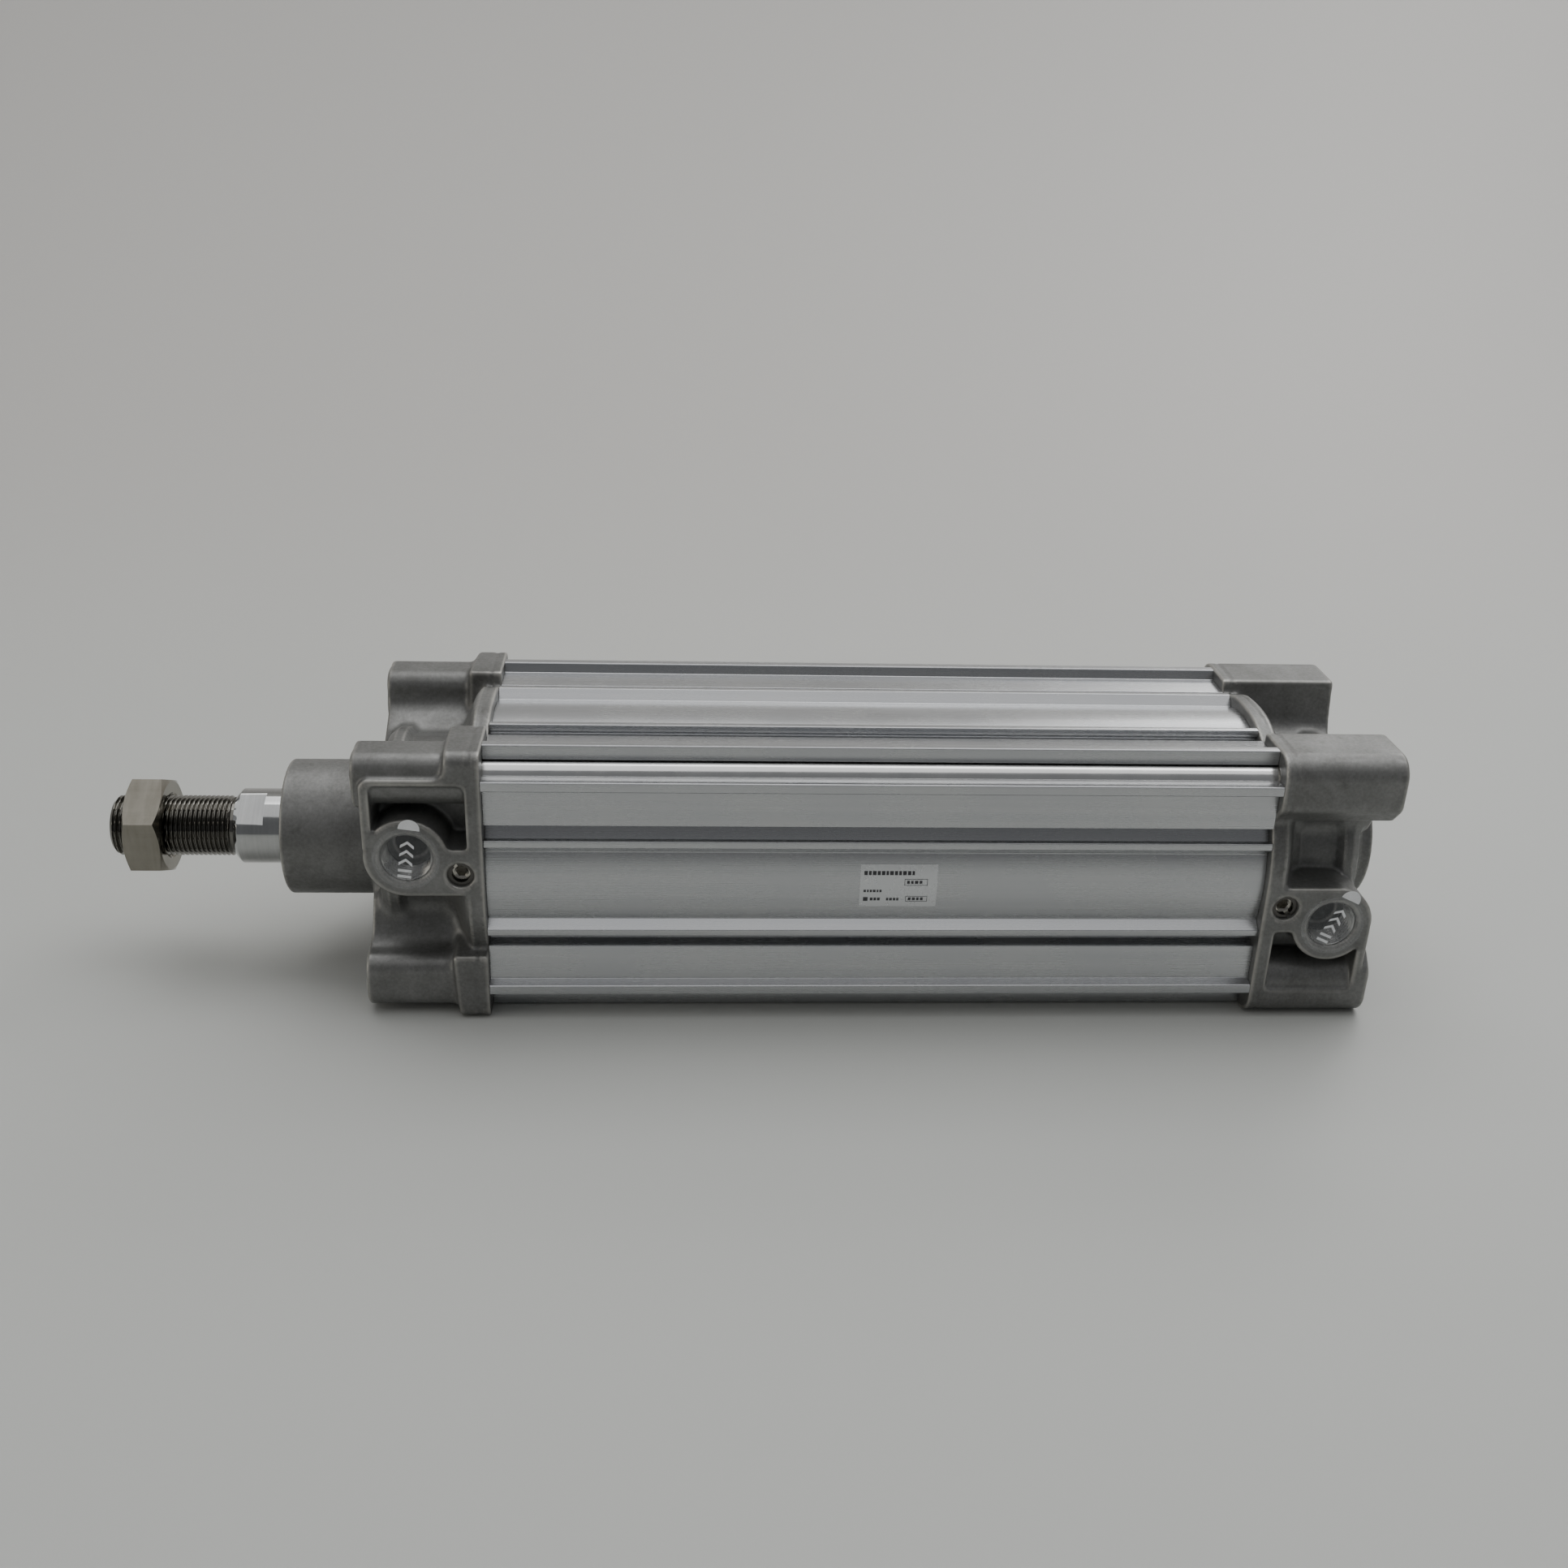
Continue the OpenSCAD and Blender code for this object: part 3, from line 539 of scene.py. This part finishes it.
def cover_field(x, y, z, rear):
    """Signed distance of a cover in the front cover's frame."""
    ay, az = np.abs(y), np.abs(z)
    r = np.hypot(y, z)
    core = polygon2(r, x, [(-5, -2), (24, -2), (24, 0), (26, 3.5), (31.5, 4.5), (33.5, 7), (33.5, 10),
                           (31, 12.5), (31, 24), (34, 28), (45.2, 33), (47, 34.5), (47, 41), (-5, 41)])
    t = np.clip((ay + az - 40) / 24, 0, 1)
    gusset = np.hypot(ay - 20 - 12 * t, az - 20 - 12 * t) - 9 + 4 * t
    d = smooth_min(core, extruded(gusset, x, 0.8, 38.5, 1), 4)
    if rear:
        post = polygon2(ay, az, [(23.5, 48), (48, 48), (48, 31.5), (41, 24),
                                 (24, 20), (20, 24), (22.7, 39.5)])
        d = smooth_min(d, extruded(post - 0.3, x, -2, 41, 0.5), 3)
    else:
        post = box2(ay, az, 26, 44.2, 26, 44.2, 5.5)
        d = smooth_min(d, extruded(post, x, 0, 38.5, 1.4), 3.5)
        flange = np.maximum(box2(y, z, -48, 48, -48, 48, 4), 23.5 - np.minimum(ay, az))
        d = smooth_min(d, extruded(flange, x, 29 + 0.06 * np.minimum(ay, az) - 2, 41, 1.5), 3)
    # raised pad round the port and the needle
    port = np.hypot(x - PORT_X, z - PORT_Z)
    pad_r = 13.2
    pad_top, pad_corner = (50, 2) if rear else (38, 3.5)
    pad = np.minimum(port - pad_r, box2(x, z, PORT_X, 42, PORT_Z - pad_r, pad_top, 0.5))
    pad = np.minimum(pad, box2(x, z, 2.8, 30, PORT_Z, pad_top, pad_corner))
    if not rear:
        pad = smooth_min(pad, box2(x, z, 28.8, 42, 20, 50, 2), 4.5)
    d = smooth_min(d, extruded(pad, y, -49, -22.5, 0.6), 1.6)
    # the cover's outer faces
    edge = 1.3
    d = smooth_max(d, box2(y, z, -HALF, HALF, -HALF, HALF, 7.5 if rear else 4), edge)
    d = smooth_max(d, -x, edge)
    d = smooth_max(d, x - COVER, 0.5)
    # seam of the casting
    d = d + 0.3 * np.exp(-((x - 36.2) / 0.55) ** 2) * (r > 44)
    # boss outside, spigot inside the barrel
    boss = extruded(r - BOSS_R, x, -(REAR_BOSS if rear else FRONT_BOSS), 2, 0.7)
    d = smooth_min(d, boss, 0.8)
    spigot = extruded(r - 39.9, x, 38, 45.5, 0.9)
    d = np.minimum(d, np.maximum(spigot, -extruded(38.2 - r, x, 41.5, 43.9, 0.1)))
    # pocket beside the port, round the post's core
    pocket = smooth_max(box2(x, z, 6, 34.6, 6, 36, 2.4), 13 - port, 1.6)
    pocket = smooth_max(pocket, 14.4 - z, 1.6)
    pocket = extruded(pocket, y, -60, -32.3, 1.2)
    pocket = smooth_max(pocket, 9.4 - np.hypot(y + 36, z - 36), 1.5)
    d = smooth_max(d, -pocket, 0.9)
    # port, needle and tie nut holes
    d = np.maximum(d, -round_hole(port, y + HALF, PORT_R, 12, 0.9))
    d = np.maximum(d, -round_hole(port, y + HALF, 5, 38.5, 0))
    needle = np.hypot(x - NEEDLE_X, z - NEEDLE_Z)
    d = np.maximum(d, -round_hole(needle, y + HALF, 4.1, 16, 0.6))
    nut = np.hypot(ay - TIE_AT, az - TIE_AT)
    d = np.maximum(d, -round_hole(nut, x, 7.02, 27.12, 0.5))
    d = np.maximum(d, -round_hole(nut, x, 5.25, 60, 0))
    # rod passage and cushion chamber
    if rear:
        d = np.maximum(d, -extruded(r - CUSHION_R, x, 10, 50, 0.4))
    else:
        d = np.maximum(d, -round_hole(r, x + FRONT_BOSS, CUSHION_R, 9, 0.6))
        d = np.maximum(d, 13.1 - r)
        d = np.maximum(d, -extruded(r - 15, x, -17, 9, 0.1))
        d = np.maximum(d, -extruded(r - CUSHION_R, x, 12, 50, 0.4))
    d = np.maximum(d, -extruded(r - 22.5, x, 35, 41, 0.1))
    return np.maximum(d, -extruded(r - 20, x, 40, 50, 0.1))


def surface_net(field, low, high, step):
    """Meshes a distance field: one point in each cell the surface crosses, drawn onto the surface."""
    axes = [np.arange(a, b + step, step, dtype=np.float32) for a, b in zip(low, high)]
    gx, gy, gz = np.meshgrid(*axes, indexing="ij")
    f = field(gx, gy, gz).astype(np.float32)
    inside = f < 0
    shape = tuple(n - 1 for n in f.shape)
    total = np.zeros(shape + (3,), np.float32)
    count = np.zeros(shape, np.float32)
    corners = [(i, j, k) for i in (0, 1) for j in (0, 1) for k in (0, 1)]

    def cut(c, arr):
        return arr[c[0]:c[0] + shape[0], c[1]:c[1] + shape[1], c[2]:c[2] + shape[2]]

    for a in corners:
        for axis in range(3):
            if a[axis]:
                continue
            b = tuple(v + (n == axis) for n, v in enumerate(a))
            crossed = cut(a, inside) != cut(b, inside)
            fa, fb = cut(a, f)[crossed], cut(b, f)[crossed]
            at = np.tile(np.array(a, np.float32), (len(fa), 1))
            at[:, axis] += fa / (fa - fb)
            total[crossed] += at
            count[crossed] += 1
    cells = count > 0
    index = np.full(shape, -1, np.int64)
    index[cells] = np.arange(cells.sum())
    where = np.argwhere(cells)
    verts = (where + total[cells] / count[cells][:, None]) * step + np.array(low, np.float32)
    quads = []
    for axis in range(3):
        u, v = (axis + 1) % 3, (axis + 2) % 3
        a = [slice(1, -1)] * 3
        b = list(a)
        a[axis], b[axis] = slice(0, -1), slice(1, None)
        sa, sb = inside[tuple(a)], inside[tuple(b)]
        at = np.argwhere(sa != sb)
        flip = sa[sa != sb]
        at[:, u] += 1
        at[:, v] += 1
        ids = []
        for du, dv in ((0, 0), (1, 0), (1, 1), (0, 1)):
            p = at.copy()
            p[:, u] -= du
            p[:, v] -= dv
            ids.append(index[p[:, 0], p[:, 1], p[:, 2]])
        q = np.stack(ids, 1)
        q[~flip] = q[~flip][:, ::-1]
        quads.append(q)
    start = verts.copy()
    tiny = 0.04
    for _ in range(3):
        x, y, z = verts.T
        f0 = field(x, y, z)
        grad = np.stack([field(x + tiny, y, z) - f0, field(x, y + tiny, z) - f0,
                         field(x, y, z + tiny) - f0], 1) / tiny
        move = -f0[:, None] * grad / np.maximum((grad ** 2).sum(1, keepdims=True), 0.3)
        verts = start + np.clip(verts + move - start, -0.6 * step, 0.6 * step)
    return verts, np.concatenate(quads)


def cover_piece(name, node, rear):
    step = 0.7
    low = (-6.37 if rear else -30.37, -HALF - 1.57, -HALF - 1.57)
    high = (47.5, HALF + 1.6, HALF + 1.6)
    verts, quads = surface_net(lambda x, y, z: cover_field(x, y, z, rear), low, high, step)
    verts = verts.astype(float)
    if rear:
        verts = verts * (-1, 1, -1) + (TOTAL, 0, 0)
    boxes = [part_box(n) for n in (node, f"{node}_spigot")]
    low = np.min([np.array(lo) for lo, _ in boxes], axis=0) / MM
    high = np.max([np.array(hi) for _, hi in boxes], axis=0) / MM
    verts = np.clip(verts, low, high)
    ob = new_object(name, verts, quads.tolist(), smooth=False)
    ob.data.shade_smooth()
    return place(ob, "barrel", "cast_cover", M["cast_cover"], node, f"{node}_spigot")


cover_piece("rod_cover_casting", "rod_cover", False)
cover_piece("head_cover_casting", "head_cover", True)


# ---- threads ----

def thread_radius(along, angle, pitch, crest, root):
    """Radius of a V thread with flat crests and roots."""
    phase = (along / pitch + angle / (2 * math.pi)) % 1.0
    wave = 1 - 2 * np.abs(phase - 0.5)
    return root + (crest - root) * np.clip((wave - 0.12) / 0.72, 0, 1)


def female_thread(name, pitch, crest, wall, length, cols, per_turn):
    """A threaded sleeve along +X from the origin; its crests point inwards."""
    rows = int(length / pitch * per_turn) + 1
    along = np.linspace(0, length, rows)
    angle = np.linspace(0, 2 * math.pi, cols, endpoint=False)
    s, a = np.meshgrid(along, angle, indexing="ij")
    r = wall - (thread_radius(s, a, pitch, wall, crest) - crest)
    lead = np.clip(np.minimum(s, length - s) / (0.7 * pitch), 0, 1)
    r = wall - (wall - r) * lead - 0.01
    verts = np.stack([s, r * np.cos(a), r * np.sin(a)], 2).reshape(-1, 3)
    faces = grid_faces(rows, cols)
    back = np.array([(x, (wall + 0.02) * math.cos(t), (wall + 0.02) * math.sin(t))
                     for x in (length, 0) for t in angle])
    verts = np.vstack([verts, back])
    last, end, first = (rows - 1) * cols, rows * cols, (rows + 1) * cols
    for c in range(cols):
        d = (c + 1) % cols
        faces.append((last + c, last + d, end + d, end + c))
        faces.append((end + c, end + d, first + d, first + c))
        faces.append((first + c, first + d, d, c))
    return new_object(name, verts, faces)


def turned_to(ob, origin, direction):
    ob.location = Vector(origin) * MM
    ob.rotation_euler = Vector(direction).to_track_quat("X", "Z").to_euler()
    return ob


for name, where in (("rod_cover_port_thread", (PORT_X, -HALF + 0.9, PORT_Z)),
                    ("head_cover_port_thread", (TOTAL - PORT_X, -HALF + 0.9, -PORT_Z))):
    sleeve = turned_to(female_thread(name, 1.337, 7.25, PORT_R, 10.6, 96, 12), where, (0, 1, 0))
    place(sleeve, "barrel", "cast_cover", M["port_thread"])

CORNERS = ((-TIE_AT, TIE_AT), (TIE_AT, TIE_AT), (TIE_AT, -TIE_AT), (-TIE_AT, -TIE_AT))
for end, x, way in (("front", 0.5, 1), ("rear", TOTAL - 0.5, -1)):
    for i, (y, z) in enumerate(CORNERS, 1):
        sleeve = turned_to(female_thread(f"{end}_mount_thread_{i}", 1.5, 3.8, MOUNT_R, 15.6, 48, 8),
                           (x, y, z), (way, 0, 0))
        place(sleeve, "barrel", "nut_steel", M["nut_steel"])


# ---- piston rod ----

def rod_mesh():
    """The rod with its centre hole, M20x1.5 thread, wrench flats and tail, turned on a fine grid."""
    cols = 180
    angle = np.linspace(0, 2 * math.pi, cols, endpoint=False)
    lo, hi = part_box("piston_rod")
    tip, tail = lo.x / MM, hi.x / MM
    rows = [(tip + 2.6, 0.02), (tip + 2.2, 0.6), (tip + 0.25, 2.6), (tip, 2.9), (tip, 8.7)]
    thread_x = np.arange(tip + 0.1, -ROD_OUT - 1.5, THREAD_PITCH / 12)
    body = [(-47.4, 9.15), (-46.02, 9.1), (-46, 9.3), (-46, 10.95), (-45.9, 11.1), (-44.65, 12.35),
            (-44.4, ROD_R), (-36.03, ROD_R), (-36.0, ROD_R), (-35.97, ROD_R), (-30, ROD_R),
            (245.95, ROD_R), (246, 12.4), (246, 10), (tail - 1, 10), (tail, 9), (tail, 0.02)]
    xs, rs = [], []
    for x, r in rows:
        xs.append(np.full(cols, x))
        rs.append(np.full(cols, r))
    for x in thread_x:
        r = thread_radius(np.full(cols, x), angle, THREAD_PITCH, THREAD_R, 9.08)
        r = np.minimum(r, 8.7 + (x - tip) * 1.0)
        run_out = np.clip((-47.0 - x) / 1.2, 0, 1)
        xs.append(np.full(cols, x))
        rs.append(THREAD_ROOT_R + (r - THREAD_ROOT_R) * run_out if x > -49 else r)
    for x, r in body:
        xs.append(np.full(cols, x))
        rs.append(np.full(cols, r))
    x, r = np.array(xs), np.array(rs)
    u, v = r * np.cos(angle), r * np.sin(angle)
    # wrench flats, square to a direction turned about the axis
    turn = math.radians(FLAT_TURN)
    across = -u * math.sin(turn) + v * math.cos(turn)
    flat = (x >= -46.001) & (x <= -35.99)
    excess = np.where(flat, across - np.clip(across, -FLAT_HALF, FLAT_HALF), 0)
    u, v = u + excess * math.sin(turn), v - excess * math.cos(turn)
    verts = np.stack([x, u, v], 2).reshape(-1, 3)
    faces = grid_faces(len(x), cols)
    faces.append(tuple(range(cols))[::-1])
    faces.append(tuple(range((len(x) - 1) * cols, len(x) * cols)))
    faces = [f[::-1] for f in faces]
    return new_object("piston_rod_turned", verts, faces, angle=28)


place(rod_mesh(), "rod", "rod_chrome", M["rod_chrome"], "piston_rod")


# ---- port film prints ----

def plate(name, outline, origin, turn, y_range):
    """A thin flat piece in the X-Z plane, its outline turned about the origin."""
    c, s = math.cos(turn), math.sin(turn)
    pts = [(origin[0] + c * u + s * v, origin[1] - s * u + c * v) for u, v in outline]
    n = len(pts)
    verts = [(u, y, v) for y in y_range for u, v in pts]
    faces = [tuple(range(n))[::-1], tuple(range(n, 2 * n))]
    faces += [(k, (k + 1) % n, n + (k + 1) % n, n + k) for k in range(n)]
    ob = new_object(name, verts, faces, smooth=False)
    face_outwards(ob)
    return ob


def chevron(v):
    return [(-2.1, v - 0.9), (0, v + 0.7), (2.1, v - 0.9), (2.1, v + 0.1), (0, v + 1.7), (-2.1, v + 0.1)]


def bar(v):
    return [(-2.1, v - 0.45), (2.1, v - 0.45), (2.1, v + 0.45), (-2.1, v + 0.45)]


def tab_outline(r, at):
    """Half-round tab, flat towards the film's middle."""
    return [(r * math.cos(a), at + r * math.sin(a)) for a in np.linspace(-0.05, math.pi + 0.05, 25)]


for side, (px, pz), tilt, tab in (
        ("rod_cover", (PORT_X, PORT_Z), 8, 8),
        ("head_cover", (TOTAL - PORT_X, -PORT_Z), 24, 25)):
    body = f"{side}_film"
    marks = [chevron(4.6), chevron(1.6), chevron(-1.4), bar(-4.0), bar(-6.0)]
    for k, outline in enumerate(marks, 1):
        ob = plate(f"{side}_film_mark_{k}", outline, (px, pz), math.radians(tilt), MARK_Y)
        place(ob, body, "port_film", M["film_white"])
    ob = plate(f"{side}_film_tab", tab_outline(3.3, 10.3), (px, pz), math.radians(tab), TAB_Y)
    place(ob, body, "port_film", M["film_white"])


# ---- label print ----

def label_patch(name, rects):
    """Ink blocks lying on the label, as (x0, x1, low, high) in mm from its left edge and lower edge."""
    lo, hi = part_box("name_label")
    x_left = lo.x / MM
    r0, r1 = 43.141, 43.152
    half_print = 6.75
    middle = math.asin((lo.z + hi.z) / 2 / MM / r0)
    verts, faces = [], []
    for x0, x1, v0, v1 in rects:
        cols = 6
        base = len(verts)
        for r in (r0, r1):
            for x in (x0, x1):
                for k in range(cols):
                    v = v0 + (v1 - v0) * k / (cols - 1) - half_print
                    a = middle + v / BARREL_R
                    verts.append((x_left + x, -r * math.cos(a), r * math.sin(a)))

        def idx(layer, side, k, base=base):
            return base + (layer * 2 + side) * cols + k

        for k in range(cols - 1):
            faces.append((idx(1, 0, k), idx(1, 1, k), idx(1, 1, k + 1), idx(1, 0, k + 1)))
            faces.append((idx(0, 0, k + 1), idx(0, 1, k + 1), idx(0, 1, k), idx(0, 0, k)))
            for side in (0, 1):
                f = (idx(0, side, k), idx(1, side, k), idx(1, side, k + 1), idx(0, side, k + 1))
                faces.append(f[::-1] if side else f)
        for k in (0, cols - 1):
            f = (idx(0, 0, k), idx(0, 1, k), idx(1, 1, k), idx(1, 0, k))
            faces.append(f if k else f[::-1])
    ob = new_object(name, verts, faces, smooth=False)
    return place(ob, "barrel", "label_foil", M["label_ink"])


def word(x, low, high, widths, gap=0.35):
    out = []
    for w in widths:
        out.append((x, x + w, low, high))
        x += w + gap
    return out


def outline_box(x0, x1, low, high, line=0.18):
    return [(x0, x1, low, low + line), (x0, x1, high - line, high),
            (x0, x0 + line, low + line, high - line), (x1 - line, x1, low + line, high - line)]


rects = word(1.2, 10.6, 12.0, (1.1, 0.9, 1.2, 1.0, 1.1, 0.8, 1.2, 1.0, 0.9, 1.2, 1.1, 0.8))
rects += outline_box(14.2, 21.6, 7.0, 9.3) + word(15.0, 7.6, 8.7, (0.9, 0.8, 1.1, 0.9), 0.4)
rects += word(1.2, 4.6, 5.5, (0.8, 0.6, 0.7, 0.9, 0.6, 0.7), 0.3)
rects += word(1.2, 1.3, 2.8, (1.5,)) + word(3.4, 1.5, 2.6, (0.9, 0.8, 0.9), 0.3)
rects += word(8.6, 1.5, 2.5, (0.7, 0.9, 0.8, 0.7), 0.3)
rects += outline_box(14.8, 21.8, 1.1, 3.2) + word(15.6, 1.6, 2.7, (0.9, 1.0, 0.8, 0.9), 0.4)
label_patch("name_label_print", rects)


# ---- floor and light ----

def backdrop():
    verts, faces = [], []
    floor_z = cad_box[0].z / MM - 0.05
    profile = [(-3000, floor_z), (300, floor_z)]
    radius = 700
    for k in range(1, 25):
        a = math.pi / 2 * k / 24
        profile.append((300 + radius * math.sin(a), floor_z + radius * (1 - math.cos(a))))
    profile.append((1000, 3500))
    for y, z in profile:
        verts += [(-4000, y, z), (4000, y, z)]
    for k in range(len(profile) - 1):
        faces.append((2 * k, 2 * k + 1, 2 * k + 3, 2 * k + 2))
    ob = new_object("floor", verts, faces, angle=60)
    n = Nodes("pale_floor")
    n.set(Roughness=0.55)
    tone = n.noise(3, 3, 0.5)
    base = n.ramp(tone, (0.3, (0.505, 0.515, 0.495)), (0.7, (0.53, 0.538, 0.518)))
    # painted shade: the backdrop turns a little darker and warmer towards the back wall
    painted_back_shade = n.ramp(n.math("MULTIPLY", n.axis(1), 1.6), (0.3, 0.0), (0.9, 1.0))
    base = n.mix(painted_back_shade, base, (0.515, 0.505, 0.485))
    n.out("Base Color", base)
    ob.data.materials.append(n.mat)


backdrop()


def area_light(name, where, aim, size, power, colour=(1, 1, 1)):
    data = bpy.data.lights.new(name, "AREA")
    data.shape = "RECTANGLE"
    data.size, data.size_y = size
    data.energy = power
    data.color = colour
    ob = bpy.data.objects.new(name, data)
    ob.location = where
    ob.rotation_euler = (Vector(aim) - Vector(where)).to_track_quat("-Z", "Y").to_euler()
    bpy.context.scene.collection.objects.link(ob)


area_light("overhead", (0.3, 0.55, 1.45), (0.16, 0.0, 0), (2.6, 1.3), 21)
area_light("back_right", (0.75, 0.95, 0.75), (0.2, 0, 0.03), (0.7, 0.35), 3.5)
area_light("top_fill", (0.3, -0.35, 1.9), (0.16, 0, 0), (2.4, 2.0), 10)
area_light("low_left", (-1.5, -0.6, 0.4), (0.1, 0, 0), (0.8, 0.8), 2.6, (1, 0.93, 0.82))


def studio_world():
    """Dark in front of the part, dim at the sides, bright above and behind it."""
    world = bpy.data.worlds.new("studio")
    bpy.context.scene.world = world
    world.use_nodes = True
    nt = world.node_tree
    coord = nt.nodes.new("ShaderNodeTexCoord")
    split = nt.nodes.new("ShaderNodeSeparateXYZ")
    nt.links.new(coord.outputs["Generated"], split.inputs[0])
    half_turn = nt.nodes.new("ShaderNodeMapRange")
    half_turn.inputs["From Min"].default_value = -1
    half_turn.inputs["From Max"].default_value = 1
    nt.links.new(split.outputs["Y"], half_turn.inputs["Value"])
    ramp = nt.nodes.new("ShaderNodeValToRGB")
    els = ramp.color_ramp.elements
    els.new(0.5)
    for el, (pos, col) in zip(els, ((0.1, (0.16, 0.163, 0.168, 1)), (0.5, (0.33, 0.335, 0.34, 1)),
                                    (0.95, (0.60, 0.60, 0.595, 1)))):
        el.position = pos
        el.color = col
    nt.links.new(half_turn.outputs["Result"], ramp.inputs["Fac"])
    nt.links.new(ramp.outputs["Color"], nt.nodes["Background"].inputs["Color"])


studio_world()
